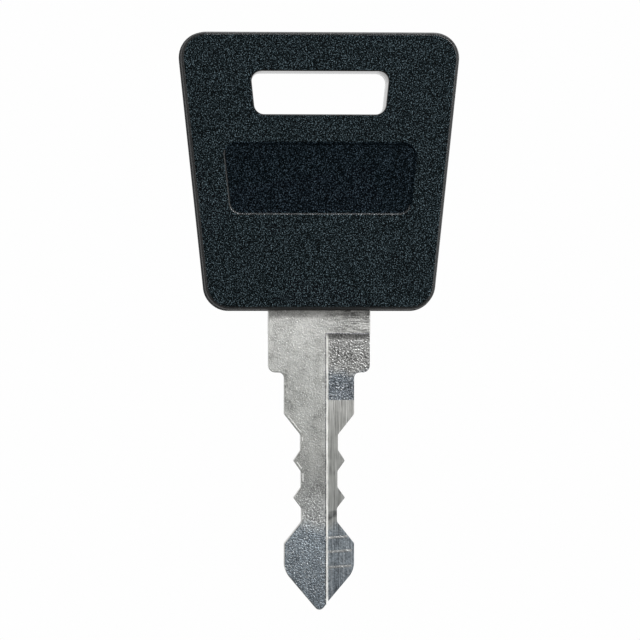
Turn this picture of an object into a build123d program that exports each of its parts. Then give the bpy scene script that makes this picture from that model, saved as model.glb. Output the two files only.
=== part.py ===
"""Flat double-sided key with a two-shell plastic head, for a selector key switch.

The key stands upright: +Z points up through the head, -Y is the front face and +X is to
the right. The origin is on the blade's axis, at mid-thickness, in the plane of the two
stop shoulders that meet the lock when the key is pushed home. Millimetres.
"""

from build123d import *

import os
from math import radians, tan

# Head: an upright trapezium, wider at the top, split at the mid-plane y = 0.
HEAD_BASE_Z = 6.15
HEAD_HEIGHT = 27.85
HEAD_BASE_WIDTH = 22.7
HEAD_TOP_WIDTH = 28.6
HEAD_BASE_CORNER_R = 2.5
HEAD_TOP_CORNER_R = 2.6
HEAD_HALF_THICKNESS = 2.5
HEAD_DRAFT = 3.0
HEAD_EDGE_R = 0.4

# Ring slot through the head. Its ends lean as the head's sides do.
SLOT_BASE_Z = 25.7
SLOT_HEIGHT = 4.3
SLOT_WIDTH = 13.4
SLOT_CORNER_R = 1.0
SLOT_EDGE_R = 0.25
SLOT_DRAFT = 1.5

# Shallow blank recess on the front face.
RECESS_BASE_Z = 15.8
RECESS_HEIGHT = 7.0
RECESS_WIDTH = 18.55
RECESS_CORNER_R = 1.1
RECESS_DEPTH = 0.25

# Blade strip.
BLADE_THICKNESS = 2.0
SHOULDER_WIDTH = 10.2
SHOULDER_CORNER_R = 0.7
SHOULDER_ROOT_R = 0.55
GUIDE_WIDTH = 7.05
GUIDE_LENGTH = 4.15
GUIDE_CORNER_R = 0.3
TAPER_LENGTH = 2.05

# Bitting: three necks with two teeth between them, then the arrow-head tip.
NECK_WIDTHS = (3.8, 3.7, 3.6)
NECK_LENGTHS = (1.55, 1.6, 1.35)
TOOTH_WIDTH = 5.2
TOOTH_LENGTH = 2.1
TOOTH_TIP_R = 0.12
NECK_ROOT_R = 0.4
ARROW_WIDTH = 7.03
ARROW_FLARE_LENGTH = 2.15
ARROW_SIDE_LENGTH = 2.75
ARROW_SLOPE = 0.845
ARROW_CORNER_R = 2.0
ARROW_FLARE_R = 0.3
TIP_R = 0.55

# Milled rabbets: one on the front right, one on the rear left.
RABBET_TOP_Z = 3.85
RABBET_DEPTH = 0.75
RABBET_WALL_X = 0.8
RABBET_WALL_ANGLE = 18.0
RABBET_CUT_LENGTH = 50.0

# Tang and its anchor holes, inside the head.
TANG_TOP_Z = 22.0
TANG_CORNER = 1.0
ANCHOR_HOLE_R = 1.5
ANCHOR_HOLE_Z = (11.0, 17.5)
TANG_CLEARANCE = 0.05
POCKET_OVERRUN = 1.0

# Pegs, sockets and weld tongue that join the shells.
PEG_CLEARANCE = 0.06
PEG_SOCKET_DEPTH = 0.8
PEG_TIP_GAP = 0.1
TONGUE_WIDTH = 0.5
TONGUE_HEIGHT = 0.4
TONGUE_CLEARANCE = 0.04
TONGUE_INSET = 1.1
TONGUE_TO_TANG = 1.0
TONGUE_GAP_HEIGHT = 3.3

SIDE_LEAN = (HEAD_TOP_WIDTH - HEAD_BASE_WIDTH) / (2 * HEAD_HEIGHT)
HALF_BLADE = BLADE_THICKNESS / 2

# Sketches are drawn on this plane: local x is +X, local y is +Z, and extruding forward
# goes towards the front of the key, -Y.
FRONT = Plane.XZ


def leaning_outline(base_z, height, mid_width, base_r, top_r):
    """Trapezium whose ends lean like the head's sides, with rounded corners."""
    low = mid_width / 2 - SIDE_LEAN * height / 2
    high = mid_width / 2 + SIDE_LEAN * height / 2
    top_z = base_z + height
    outline = make_face(Polyline((-low, base_z), (low, base_z), (high, top_z), (-high, top_z), close=True))
    corners = outline.vertices().sort_by(Axis.Y)
    outline = fillet(corners[:2], base_r)
    return fillet(outline.vertices().sort_by(Axis.Y)[-2:], top_r)


def head_outline(inset=0.0):
    """Outline of the head at the mid-plane, optionally shrunk all round."""
    mid_width = (HEAD_BASE_WIDTH + HEAD_TOP_WIDTH) / 2 - 2 * inset
    height = HEAD_HEIGHT - 2 * inset
    return leaning_outline(
        HEAD_BASE_Z + inset, height, mid_width, HEAD_BASE_CORNER_R - inset, HEAD_TOP_CORNER_R - inset
    )


def slot_outline(grow=0.0):
    """Outline of the ring slot, optionally grown all round."""
    width = SLOT_WIDTH + 2 * grow
    return leaning_outline(
        SLOT_BASE_Z - grow, SLOT_HEIGHT + 2 * grow, width, SLOT_CORNER_R + grow, SLOT_CORNER_R + grow
    )


def on_front(outline):
    """Place a flat outline on the key's mid-plane."""
    return FRONT * outline


def half_head():
    """Front half of the head's outer form, with its draft, slot and rounded edges."""
    block = extrude(on_front(head_outline()), amount=HEAD_HALF_THICKNESS, taper=HEAD_DRAFT)
    block = fillet(block.faces().sort_by(Axis.Y)[0].edges(), HEAD_EDGE_R)
    narrowing = HEAD_HALF_THICKNESS * tan(radians(SLOT_DRAFT))
    block -= extrude(on_front(slot_outline(-narrowing)), amount=HEAD_HALF_THICKNESS, taper=-SLOT_DRAFT)
    front_face = block.faces().sort_by(Axis.Y)[0]
    return fillet(front_face.inner_wires().edges(), SLOT_EDGE_R)


def recess_cut():
    """Shallow blank recess in the front face."""
    outline = leaning_outline(
        RECESS_BASE_Z, RECESS_HEIGHT, RECESS_WIDTH, RECESS_CORNER_R, RECESS_CORNER_R
    )
    floor = FRONT.offset(HEAD_HALF_THICKNESS - RECESS_DEPTH)
    return extrude(floor * outline, amount=2 * RECESS_DEPTH)


def right_corners():
    """Corners of the blade's right edge, from the tang down, each with its rounding radius."""
    half = SHOULDER_WIDTH / 2
    corners = [
        (half - TANG_CORNER, TANG_TOP_Z, 0.0),
        (half, TANG_TOP_Z - TANG_CORNER, 0.0),
        (half, 0.0, SHOULDER_CORNER_R),
        (GUIDE_WIDTH / 2, 0.0, SHOULDER_ROOT_R),
        (GUIDE_WIDTH / 2, -GUIDE_LENGTH, GUIDE_CORNER_R),
    ]
    z = -GUIDE_LENGTH - TAPER_LENGTH
    for neck, (width, length) in enumerate(zip(NECK_WIDTHS, NECK_LENGTHS)):
        if neck > 0:
            corners.append((TOOTH_WIDTH / 2, z - TOOTH_LENGTH / 2, TOOTH_TIP_R))
            z -= TOOTH_LENGTH
        corners.append((width / 2, z, NECK_ROOT_R))
        z -= length
        corners.append((width / 2, z, NECK_ROOT_R))
    z -= ARROW_FLARE_LENGTH
    corners.append((ARROW_WIDTH / 2, z, ARROW_FLARE_R))
    z -= ARROW_SIDE_LENGTH
    corners.append((ARROW_WIDTH / 2, z, ARROW_CORNER_R))
    return corners


def blade_outline():
    """Outline of the whole blade and tang, with every corner of the stamping rounded."""
    right = right_corners()
    tip_z = right[-1][1] - ARROW_WIDTH / 2 / ARROW_SLOPE
    points = [(x, z) for x, z, _ in right]
    left = [(-x, z) for x, z in reversed(points)]
    outline = make_face(Polyline(*points, (0.0, tip_z), *left, close=True))
    for x, z, radius in right + [(0.0, tip_z, TIP_R)]:
        if radius > 0:
            pair = [v for v in outline.vertices() if abs(abs(v.X) - x) < 0.01 and abs(v.Y - z) < 0.01]
            outline = fillet(pair, radius)
    return outline


def rabbet_cut():
    """Cutter path of the front rabbet: everything right of a slightly slanted wall."""
    wall_run = RABBET_DEPTH * tan(radians(RABBET_WALL_ANGLE))
    near = RABBET_WALL_X - wall_run / 2
    far = SHOULDER_WIDTH
    floor_y = -HALF_BLADE + RABBET_DEPTH
    section = make_face(
        Polyline(
            (near, -HALF_BLADE), (near + wall_run, floor_y), (far, floor_y), (far, -HALF_BLADE), close=True
        )
    )
    return extrude(Plane.XY.offset(RABBET_TOP_Z) * section, amount=-RABBET_CUT_LENGTH)


def make_key_blade():
    """Stamped and milled blade with its tang and anchor holes."""
    blade = extrude(on_front(blade_outline()), amount=HALF_BLADE, both=True)
    for hole_z in ANCHOR_HOLE_Z:
        hole = Pos(0, 0, hole_z) * Rot(90, 0, 0) * Cylinder(ANCHOR_HOLE_R, 2 * BLADE_THICKNESS)
        blade -= hole
    front_rabbet = rabbet_cut()
    blade -= front_rabbet
    blade -= Rot(0, 0, 180) * front_rabbet
    return blade


def tang_pocket():
    """Space for the tang, open at the foot of the head."""
    half = SHOULDER_WIDTH / 2 + TANG_CLEARANCE
    top_z = TANG_TOP_Z + TANG_CLEARANCE
    corner = TANG_CORNER
    low = HEAD_BASE_Z - POCKET_OVERRUN
    outline = make_face(
        Polyline(
            (-half, low), (half, low), (half, top_z - corner), (half - corner, top_z),
            (corner - half, top_z), (-half, top_z - corner), close=True,
        )
    )
    return extrude(on_front(outline), amount=HALF_BLADE, both=True)


def tongue(spare):
    """Weld tongue round the rim and round the slot; spare is its clearance all round.

    The tongue round the rim stops each side of the tang.
    """
    inset = TONGUE_INSET - spare
    wide = TONGUE_WIDTH + 2 * spare
    rim = head_outline(inset) - head_outline(inset + wide)
    loop = slot_outline(inset + wide) - slot_outline(inset)
    reach = TONGUE_HEIGHT + spare
    ring = extrude(on_front(rim), amount=reach) + extrude(on_front(loop), amount=reach)
    gap_width = SHOULDER_WIDTH + 2 * (TONGUE_TO_TANG - spare)
    gap = Box(gap_width, 2 * HEAD_HALF_THICKNESS, TONGUE_GAP_HEIGHT)
    return ring - Pos(0, 0, HEAD_BASE_Z + TONGUE_GAP_HEIGHT / 2) * gap


def make_head_front_shell():
    """Front half of the head: recess, tang pocket, peg sockets and weld groove."""
    shell = half_head() - recess_cut() - tang_pocket() - tongue(TONGUE_CLEARANCE)
    depth = HALF_BLADE + PEG_SOCKET_DEPTH
    for peg_z in ANCHOR_HOLE_Z:
        shell -= Pos(0, -depth / 2, peg_z) * Rot(90, 0, 0) * Cylinder(ANCHOR_HOLE_R, depth)
    return shell


def make_head_rear_shell():
    """Rear half of the head: tang pocket, the two pegs and the weld tongue."""
    shell = mirror(half_head(), about=Plane.XZ) - tang_pocket() + tongue(0.0)
    peg_tip = HALF_BLADE + PEG_SOCKET_DEPTH - PEG_TIP_GAP
    length = peg_tip + HALF_BLADE
    for peg_z in ANCHOR_HOLE_Z:
        centre_y = (HALF_BLADE - peg_tip) / 2
        peg = Cylinder(ANCHOR_HOLE_R - PEG_CLEARANCE, length)
        shell += Pos(0, centre_y, peg_z) * Rot(90, 0, 0) * peg
    return shell


if __name__ == "__main__":
    os.makedirs("parts", exist_ok=True)
    export_step(make_key_blade(), "parts/key_blade.step")
    export_step(make_head_front_shell(), "parts/head_front_shell.step")
    export_step(make_head_rear_shell(), "parts/head_rear_shell.step")
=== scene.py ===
"""Looks of a flat double-sided key with a two-shell plastic head.

Meshes are shaped in millimetres and brought to metres when a piece is finished, so every
size below is a drawing size. The key stands upright as its CAD model does: +Z through the
head, -Y out of the front face, origin on the blade's axis in the plane of the shoulders.
"""

from __future__ import annotations

import logging
from contextlib import contextmanager
from dataclasses import dataclass, field
from enum import Enum
from math import atan, atan2, cos, degrees, hypot, radians, sin, tan
from typing import Callable, Iterator

import bmesh
import bpy
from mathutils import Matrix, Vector

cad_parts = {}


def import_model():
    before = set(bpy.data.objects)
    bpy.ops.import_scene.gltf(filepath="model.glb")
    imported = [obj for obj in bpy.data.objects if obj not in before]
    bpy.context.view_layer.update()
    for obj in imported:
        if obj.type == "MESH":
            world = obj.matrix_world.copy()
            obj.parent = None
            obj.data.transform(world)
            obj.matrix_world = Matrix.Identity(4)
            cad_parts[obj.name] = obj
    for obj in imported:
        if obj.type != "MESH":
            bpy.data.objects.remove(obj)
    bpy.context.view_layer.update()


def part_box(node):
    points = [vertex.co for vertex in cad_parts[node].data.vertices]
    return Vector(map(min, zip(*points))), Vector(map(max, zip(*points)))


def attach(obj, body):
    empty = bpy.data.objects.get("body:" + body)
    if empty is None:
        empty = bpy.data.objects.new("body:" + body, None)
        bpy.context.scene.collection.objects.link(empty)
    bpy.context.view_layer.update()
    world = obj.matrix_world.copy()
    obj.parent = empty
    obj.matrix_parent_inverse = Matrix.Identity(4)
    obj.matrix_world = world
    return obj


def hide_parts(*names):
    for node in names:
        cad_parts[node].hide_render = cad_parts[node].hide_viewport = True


LOG = logging.getLogger("panel_key")
MM = 0.001

# Two places nearer than this are the same, in millimetres.
SAME_PLACE = 1e-3
# A unit vector lies along an axis if its part on the axis is more than ALONG, and square to it
# if that part is less than SQUARE.
ALONG = 0.9
SQUARE = 0.1
# Faces that meet at less than this angle shade as one surface.
SMOOTH_DEG = 32
# The studio's ground and backdrop.
PAPER_WHITE = "#fefefe"

Test = Callable[[Vector, Vector], bool]
Finishes = dict[Enum, bpy.types.Material]


class Side(Enum):
    """Which half of the head a shell is; the value is the sign of its outer face's y."""

    FRONT = -1
    REAR = 1


class Element(Enum):
    """Mesh elements that edit mode can select."""

    VERT = "VERT"
    EDGE = "EDGE"
    FACE = "FACE"


class Cut(Enum):
    """What a second solid does to the first."""

    REMOVE = "DIFFERENCE"
    ADD = "UNION"


# ---------------------------------------------------------------- workshop


@contextmanager
def edit_mode(obj: bpy.types.Object, element: Element) -> Iterator[None]:
    """Open one object alone in edit mode with nothing selected.

    Args:
        obj: The object to edit.
        element: The kind of element that selections pick.

    Yields:
        Nothing, while the object is open.
    """
    bpy.ops.object.select_all(action="DESELECT")
    bpy.context.view_layer.objects.active = obj
    obj.select_set(True)
    bpy.ops.object.mode_set(mode="EDIT")
    bpy.ops.mesh.select_mode(type=element.value)
    bpy.ops.mesh.select_all(action="DESELECT")
    try:
        yield
    finally:
        bpy.ops.object.mode_set(mode="OBJECT")


def pick(obj: bpy.types.Object, element: Element, test: Test) -> int:
    """Select the elements that a test accepts, and nothing else, in edit mode.

    Args:
        obj: The object being edited.
        element: The kind of element to select.
        test: Takes an element's centre, and its normal or an edge's direction.

    Returns:
        How many elements were selected.
    """
    bpy.ops.mesh.select_mode(type=element.value)
    bpy.ops.mesh.select_all(action="DESELECT")
    mesh = bmesh.from_edit_mesh(obj.data)
    count = 0
    if element is Element.VERT:
        for vert in mesh.verts:
            if test(vert.co, vert.normal):
                vert.select_set(True)
                count += 1
    elif element is Element.EDGE:
        for edge in mesh.edges:
            start, end = (v.co for v in edge.verts)
            if test((start + end) / 2, (end - start).normalized()):
                edge.select_set(True)
                count += 1
    else:
        for face in mesh.faces:
            if test(face.calc_center_median(), face.normal):
                face.select_set(True)
                count += 1
    bmesh.update_edit_mesh(obj.data)
    return count


def bevel(width: float, segments: int, corners: bool = False) -> None:
    """Round or chamfer what is selected; one segment makes a chamfer.

    Args:
        width: Distance from the old edge to the new ones.
        segments: Number of strips across the rounding.
        corners: Round selected vertices of a flat outline in place of edges.
    """
    bpy.ops.mesh.bevel(
        offset_type="OFFSET",
        offset=width,
        segments=segments,
        profile=0.5,
        affect="VERTICES" if corners else "EDGES",
        clamp_overlap=False,
    )


def combine(obj: bpy.types.Object, tool: bpy.types.Object, cut: Cut) -> None:
    """Cut a tool out of an object or weld it on, and throw the tool away.

    Args:
        obj: The object that stays.
        tool: The solid that cuts or is added.
        cut: Whether the tool removes or adds material.
    """
    bpy.ops.object.select_all(action="DESELECT")
    bpy.context.view_layer.objects.active = obj
    obj.select_set(True)
    modifier = obj.modifiers.new("cut", "BOOLEAN")
    modifier.operation = cut.value
    modifier.solver = "EXACT"
    modifier.object = tool
    bpy.ops.object.modifier_apply(modifier=modifier.name)
    bpy.data.objects.remove(tool)


def is_at(value: float, target: float) -> bool:
    """True if two drawing sizes are the same."""
    return abs(value - target) < SAME_PLACE


def new_block(low: Vector, high: Vector, name: str) -> bpy.types.Object:
    """Add a block between two corners, in millimetres, with its place in its mesh.

    Args:
        low: Lowest corner.
        high: Highest corner.
        name: Name of the new object.

    Returns:
        The block.
    """
    bpy.ops.object.select_all(action="DESELECT")
    bpy.ops.mesh.primitive_cube_add(size=1, location=(low + high) / 2, scale=high - low)
    obj = bpy.context.object
    obj.name = name
    bpy.ops.object.transform_apply(location=True, rotation=True, scale=True)
    return obj


def new_peg(radius: float, low_y: float, high_y: float, z: float) -> bpy.types.Object:
    """Add a plain round bar along Y, as a tool for pegs and holes.

    Args:
        radius: Radius of the bar.
        low_y: Lower end.
        high_y: Higher end.
        z: Height of its axis.

    Returns:
        The bar.
    """
    facets = 48
    bpy.ops.object.select_all(action="DESELECT")
    bpy.ops.mesh.primitive_cylinder_add(
        vertices=facets,
        radius=radius,
        depth=high_y - low_y,
        location=(0, (low_y + high_y) / 2, z),
        rotation=(radians(90), 0, 0),
    )
    bar = bpy.context.object
    bpy.ops.object.transform_apply(location=True, rotation=True, scale=True)
    return bar


def finish_piece(obj: bpy.types.Object) -> None:
    """Clean a modelled mesh, smooth its round stretches and bring it to metres.

    Args:
        obj: The piece, in millimetres.
    """
    with edit_mode(obj, Element.VERT):
        bpy.ops.mesh.select_all(action="SELECT")
        bpy.ops.mesh.remove_doubles(threshold=SAME_PLACE)
        bpy.ops.mesh.dissolve_degenerate(threshold=SAME_PLACE / 4)
        bpy.ops.mesh.normals_make_consistent(inside=False)
    obj.scale = (MM, MM, MM)
    bpy.ops.object.transform_apply(location=False, rotation=False, scale=True)
    bpy.ops.object.shade_smooth_by_angle(angle=radians(SMOOTH_DEG))
    weighted = obj.modifiers.new("flat_faces_stay_flat", "WEIGHTED_NORMAL")
    weighted.keep_sharp = True
    bpy.ops.object.modifier_apply(modifier=weighted.name)


def dress(piece: bpy.types.Object, finishes: Finishes, rules: tuple[tuple[Enum, Test], ...]) -> None:
    """Give a finished piece its materials, and each face the last one whose rule accepts it.

    Args:
        piece: The finished mesh, in metres.
        finishes: One material for each surface, in the order of the surfaces' numbers.
        rules: A surface and the test for its faces; a face that none accepts gets the first.
    """
    piece.data.materials.clear()
    for finish in finishes.values():
        piece.data.materials.append(finish)
    with edit_mode(piece, Element.FACE):
        for surface, rule in rules:
            count = pick(piece, Element.FACE, rule)
            piece.active_material_index = surface.value
            bpy.ops.object.material_slot_assign()
            LOG.info("%s %s faces: %d", piece.name, surface.name, count)


# ---------------------------------------------------------------- finishes


def srgb(colour: str) -> tuple[float, float, float, float]:
    """Turn an sRGB hex colour into linear RGBA.

    Args:
        colour: Six hex digits after a hash sign.

    Returns:
        Linear red, green, blue and full alpha.
    """
    channels = [int(colour[i : i + 2], 16) / 255 for i in (1, 3, 5)]
    linear = [c / 12.92 if c <= 0.04045 else ((c + 0.055) / 1.055) ** 2.4 for c in channels]
    return (linear[0], linear[1], linear[2], 1.0)


def add_node(
    tree: bpy.types.NodeTree, kind: str, inputs: dict | None = None, **settings: object
) -> bpy.types.Node:
    """Add a node with its settings, values and links.

    Args:
        tree: The node tree to add to.
        kind: The node's type.
        inputs: Input name or number, to a value or to the socket that feeds it.
        **settings: The node's own properties.

    Returns:
        The new node.
    """
    node = tree.nodes.new(kind)
    for name, value in settings.items():
        setattr(node, name, value)
    for key, value in (inputs or {}).items():
        if isinstance(value, bpy.types.NodeSocket):
            tree.links.new(value, node.inputs[key])
        else:
            node.inputs[key].default_value = value
    return node


def per_metre(feature_mm: float) -> float:
    """Texture scale whose features are this many millimetres apart."""
    return 1.0 / (feature_mm * MM)


def new_material(name: str) -> tuple[bpy.types.Material, bpy.types.NodeTree]:
    """Make an empty node material.

    Args:
        name: Name of the finish.

    Returns:
        The material and its node tree.
    """
    material = bpy.data.materials.new(name)
    material.use_nodes = True
    material.node_tree.nodes.clear()
    return material, material.node_tree


def across(span: tuple[float, float]) -> dict[str, float]:
    """Inputs that make a map range rise from 0 to 1 across a span of its value."""
    return {"From Min": span[0], "From Max": span[1]}


@dataclass(frozen=True)
class MouldedABS:
    """Black ABS that copies its mould: spark-eroded steel leaves pebbles, polished steel a gloss.

    The pebbles are bumped, and their light and shade is also painted into the colour: the valleys
    are painted dark as shade and the pebble tops take a painted glint, so the face breaks into
    bright and dark specks. Noise cells of 0.12 mm make pebbles about 0.25 mm apart. The spans are
    the noise levels between which a pebble rises and its top takes the painted glint.
    """

    name: str
    shaded_valley_colour: str = "#000102"
    pebble_colour: str = "#0f1c20"
    painted_glint_colour: str = "#6a7b83"
    pebble_mm: float = 0.12
    pebble_height_mm: float = 0.025
    pebble_span: tuple[float, float] = (0.38, 0.62)
    painted_glint_span: tuple[float, float] = (0.55, 0.76)
    roughness: float = 0.5
    pebble_roughness: float = 0.36
    ior: float = 1.53
    specular: float = 0.04

    def material(self) -> bpy.types.Material:
        """Build the finish.

        Returns:
            The material.
        """
        material, tree = new_material(self.name)
        place = add_node(tree, "ShaderNodeTexCoord").outputs["Object"]
        pebbles = add_node(
            tree,
            "ShaderNodeTexNoise",
            {"Vector": place, "Scale": per_metre(self.pebble_mm), "Detail": 1.5, "Roughness": 0.6},
        )
        height = add_node(
            tree,
            "ShaderNodeMapRange",
            {"Value": pebbles.outputs["Fac"], **across(self.pebble_span)},
            interpolation_type="SMOOTHSTEP",
        )
        # Valleys painted darker than the pebbles as their shade.
        body = add_node(
            tree,
            "ShaderNodeMix",
            {0: height.outputs["Result"], 6: srgb(self.shaded_valley_colour), 7: srgb(self.pebble_colour)},
            data_type="RGBA",
        )
        # Painted glints: the pebble tops turn to a light colour as a painted highlight.
        glints = add_node(
            tree,
            "ShaderNodeMapRange",
            {"Value": pebbles.outputs["Fac"], **across(self.painted_glint_span)},
        )
        colour = add_node(
            tree,
            "ShaderNodeMix",
            {0: glints.outputs["Result"], 6: body.outputs[2], 7: srgb(self.painted_glint_colour)},
            data_type="RGBA",
        )
        roughness = add_node(
            tree,
            "ShaderNodeMapRange",
            {
                "Value": height.outputs["Result"],
                "To Min": self.roughness,
                "To Max": self.pebble_roughness,
            },
        )
        bump = add_node(
            tree,
            "ShaderNodeBump",
            {"Height": height.outputs["Result"], "Distance": self.pebble_height_mm * MM},
        )
        shader = add_node(
            tree,
            "ShaderNodeBsdfPrincipled",
            {
                "Base Color": colour.outputs[2],
                "Roughness": roughness.outputs["Result"],
                "IOR": self.ior,
                "Specular IOR Level": self.specular,
                "Normal": bump.outputs["Normal"],
            },
        )
        add_node(tree, "ShaderNodeOutputMaterial", {"Surface": shader.outputs["BSDF"]})
        return material


@dataclass(frozen=True)
class Tone:
    """Colour of the plating at one height along the blade, in millimetres."""

    z: float
    colour: str


@dataclass(frozen=True)
class StreakedPatch:
    """A patch of a face darkened with fine streaks, in millimetres: it fades in from the none places to
    the full ones.
    """

    x_none: float
    x_full: float
    z_none: tuple[float, float]
    z_full: tuple[float, float]
    streak_mm: tuple[float, float, float] = (0.9, 0.4, 0.11)
    streak_span: tuple[float, float] = (0.38, 0.62)
    depth: float = 0.62


@dataclass(frozen=True)
class NickelPlate:
    """Nickel-plated brass: satin grey metal whose grain or tool marks show through the thin plate.

    Its tone is light high on the blade and turns darker and bluish towards the tip, partly wear
    and partly a painted reflection of a darker, bluer surround; the lock wears the tip dull and
    pitted. White sparks and bright specks between the pits are painted glints. The real grain is
    finer: it is drawn as coarse as it needs to show. The spans are the noise levels between which
    each pattern grows.
    """

    name: str
    tones: tuple[Tone, ...]
    grain_mm: tuple[float, float, float] = (0.13, 0.13, 0.13)
    grain_height_mm: float = 0.01
    grain_shade: float = 0.34
    grain_span: tuple[float, float] = (0.34, 0.66)
    # Share of white painted glints mixed into the colour.
    spark: float = 0.8
    painted_spark_span: tuple[float, float] = (0.58, 0.74)
    cloud_mm: float = 1.2
    cloud_shade: float = 0.26
    cloud_span: tuple[float, float] = (0.35, 0.65)
    roughness: float = 0.34
    roughness_spread: float = 0.12
    pitted_z: tuple[float, float] = (-9.0, -15.0)
    pit_mm: float = 0.2
    pit_low: float = 0.5
    pit_painted_glint: float = 1.55
    pit_height_mm: float = 0.02
    pit_span: tuple[float, float] = (0.38, 0.76)
    blotch_mm: float = 2.2
    tone_wander_mm: float = 1.2
    streaked_patches: tuple[StreakedPatch, ...] = ()

    def material(self) -> bpy.types.Material:
        """Build the finish.

        Returns:
            The material.
        """
        material, tree = new_material(self.name)
        place = add_node(tree, "ShaderNodeTexCoord").outputs["Object"]
        stretched = add_node(
            tree,
            "ShaderNodeMapping",
            {"Vector": place, "Scale": tuple(per_metre(size) for size in self.grain_mm)},
        )
        grain = add_node(
            tree,
            "ShaderNodeTexNoise",
            {"Vector": stretched.outputs["Vector"], "Scale": 1.0, "Detail": 2.5, "Roughness": 0.6},
        )
        relief = add_node(
            tree,
            "ShaderNodeMapRange",
            {"Value": grain.outputs["Fac"], **across(self.grain_span)},
        )
        clouds = add_node(
            tree,
            "ShaderNodeTexNoise",
            {"Vector": place, "Scale": per_metre(self.cloud_mm), "Detail": 2.0},
        )
        cloudy = add_node(
            tree,
            "ShaderNodeMapRange",
            {
                "Value": clouds.outputs["Fac"],
                **across(self.cloud_span),
                "To Min": 1 - self.grain_shade - self.cloud_shade,
                "To Max": 1 - self.grain_shade + self.cloud_shade,
            },
        )
        shade = add_node(
            tree,
            "ShaderNodeMapRange",
            {"Value": relief.outputs["Result"], "To Min": cloudy.outputs["Result"], "To Max": 1.0},
        )
        plating = self.add_tones(tree, place)
        for streaked_patch in self.streaked_patches:
            plating = self.add_streaked_patch(tree, place, plating, streaked_patch)
        pit_relief, pit_tone_and_glint, pit_share = self.add_pits(tree, place)
        body = add_node(
            tree,
            "ShaderNodeVectorMath",
            {0: plating, 1: shade.outputs["Result"]},
            operation="MULTIPLY",
        )
        body = add_node(
            tree,
            "ShaderNodeVectorMath",
            {0: body.outputs["Vector"], 1: pit_tone_and_glint},
            operation="MULTIPLY",
        )
        # White sparks mixed into the colour are painted glints.
        sparks = add_node(
            tree,
            "ShaderNodeMapRange",
            {"Value": grain.outputs["Fac"], **across(self.painted_spark_span), "To Max": self.spark},
        )
        colour = add_node(
            tree,
            "ShaderNodeMix",
            {0: sparks.outputs["Result"], 6: body.outputs["Vector"], 7: srgb("#ffffff")},
            data_type="RGBA",
            clamp_result=True,
        )
        roughness = add_node(
            tree,
            "ShaderNodeMapRange",
            {
                "Value": relief.outputs["Result"],
                "To Min": self.roughness + self.roughness_spread,
                "To Max": self.roughness,
            },
        )
        pits = add_node(
            tree, "ShaderNodeMath", {0: pit_relief, 1: pit_share}, operation="MULTIPLY"
        )
        height = add_node(
            tree,
            "ShaderNodeMath",
            {
                0: relief.outputs["Result"],
                1: self.grain_height_mm / self.pit_height_mm,
                2: pits.outputs["Value"],
            },
            operation="MULTIPLY_ADD",
        )
        bump = add_node(
            tree,
            "ShaderNodeBump",
            {"Height": height.outputs["Value"], "Distance": self.pit_height_mm * MM},
        )
        shader = add_node(
            tree,
            "ShaderNodeBsdfPrincipled",
            {
                "Base Color": colour.outputs[2],
                "Metallic": 1.0,
                "Roughness": roughness.outputs["Result"],
                "Normal": bump.outputs["Normal"],
            },
        )
        add_node(tree, "ShaderNodeOutputMaterial", {"Surface": shader.outputs["BSDF"]})
        return material

    def add_pits(
        self, tree: bpy.types.NodeTree, place: bpy.types.NodeSocket
    ) -> tuple[bpy.types.NodeSocket, bpy.types.NodeSocket, bpy.types.NodeSocket]:
        """Coarsen the grain towards the tip, where the plate is eaten: pits darken it, and specks
        between them are painted bright as glints.

        Args:
            tree: The material's node tree.
            place: Object coordinates.

        Returns:
            The pits' relief, the factor by which they darken the plating and paint glints on it, and
            their growth, 0 to 1.
        """
        parts = add_node(tree, "ShaderNodeSeparateXYZ", {0: place})
        pitted_z = tuple(z * MM for z in self.pitted_z)
        share = add_node(
            tree,
            "ShaderNodeMapRange",
            {"Value": parts.outputs["Z"], **across(pitted_z)},
        )
        pits = add_node(
            tree,
            "ShaderNodeTexNoise",
            {"Vector": place, "Scale": per_metre(self.pit_mm), "Detail": 2.0, "Roughness": 0.6},
        )
        relief = add_node(
            tree,
            "ShaderNodeMapRange",
            {"Value": pits.outputs["Fac"], **across(self.pit_span)},
        )
        low, high = (
            add_node(
                tree,
                "ShaderNodeMapRange",
                {"Value": share.outputs["Result"], "To Min": 1.0, "To Max": limit},
            )
            for limit in (self.pit_low, self.pit_painted_glint)
        )
        shade = add_node(
            tree,
            "ShaderNodeMapRange",
            {
                "Value": relief.outputs["Result"],
                "To Min": low.outputs["Result"],
                "To Max": high.outputs["Result"],
            },
        )
        return relief.outputs["Result"], shade.outputs["Result"], share.outputs["Result"]

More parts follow.
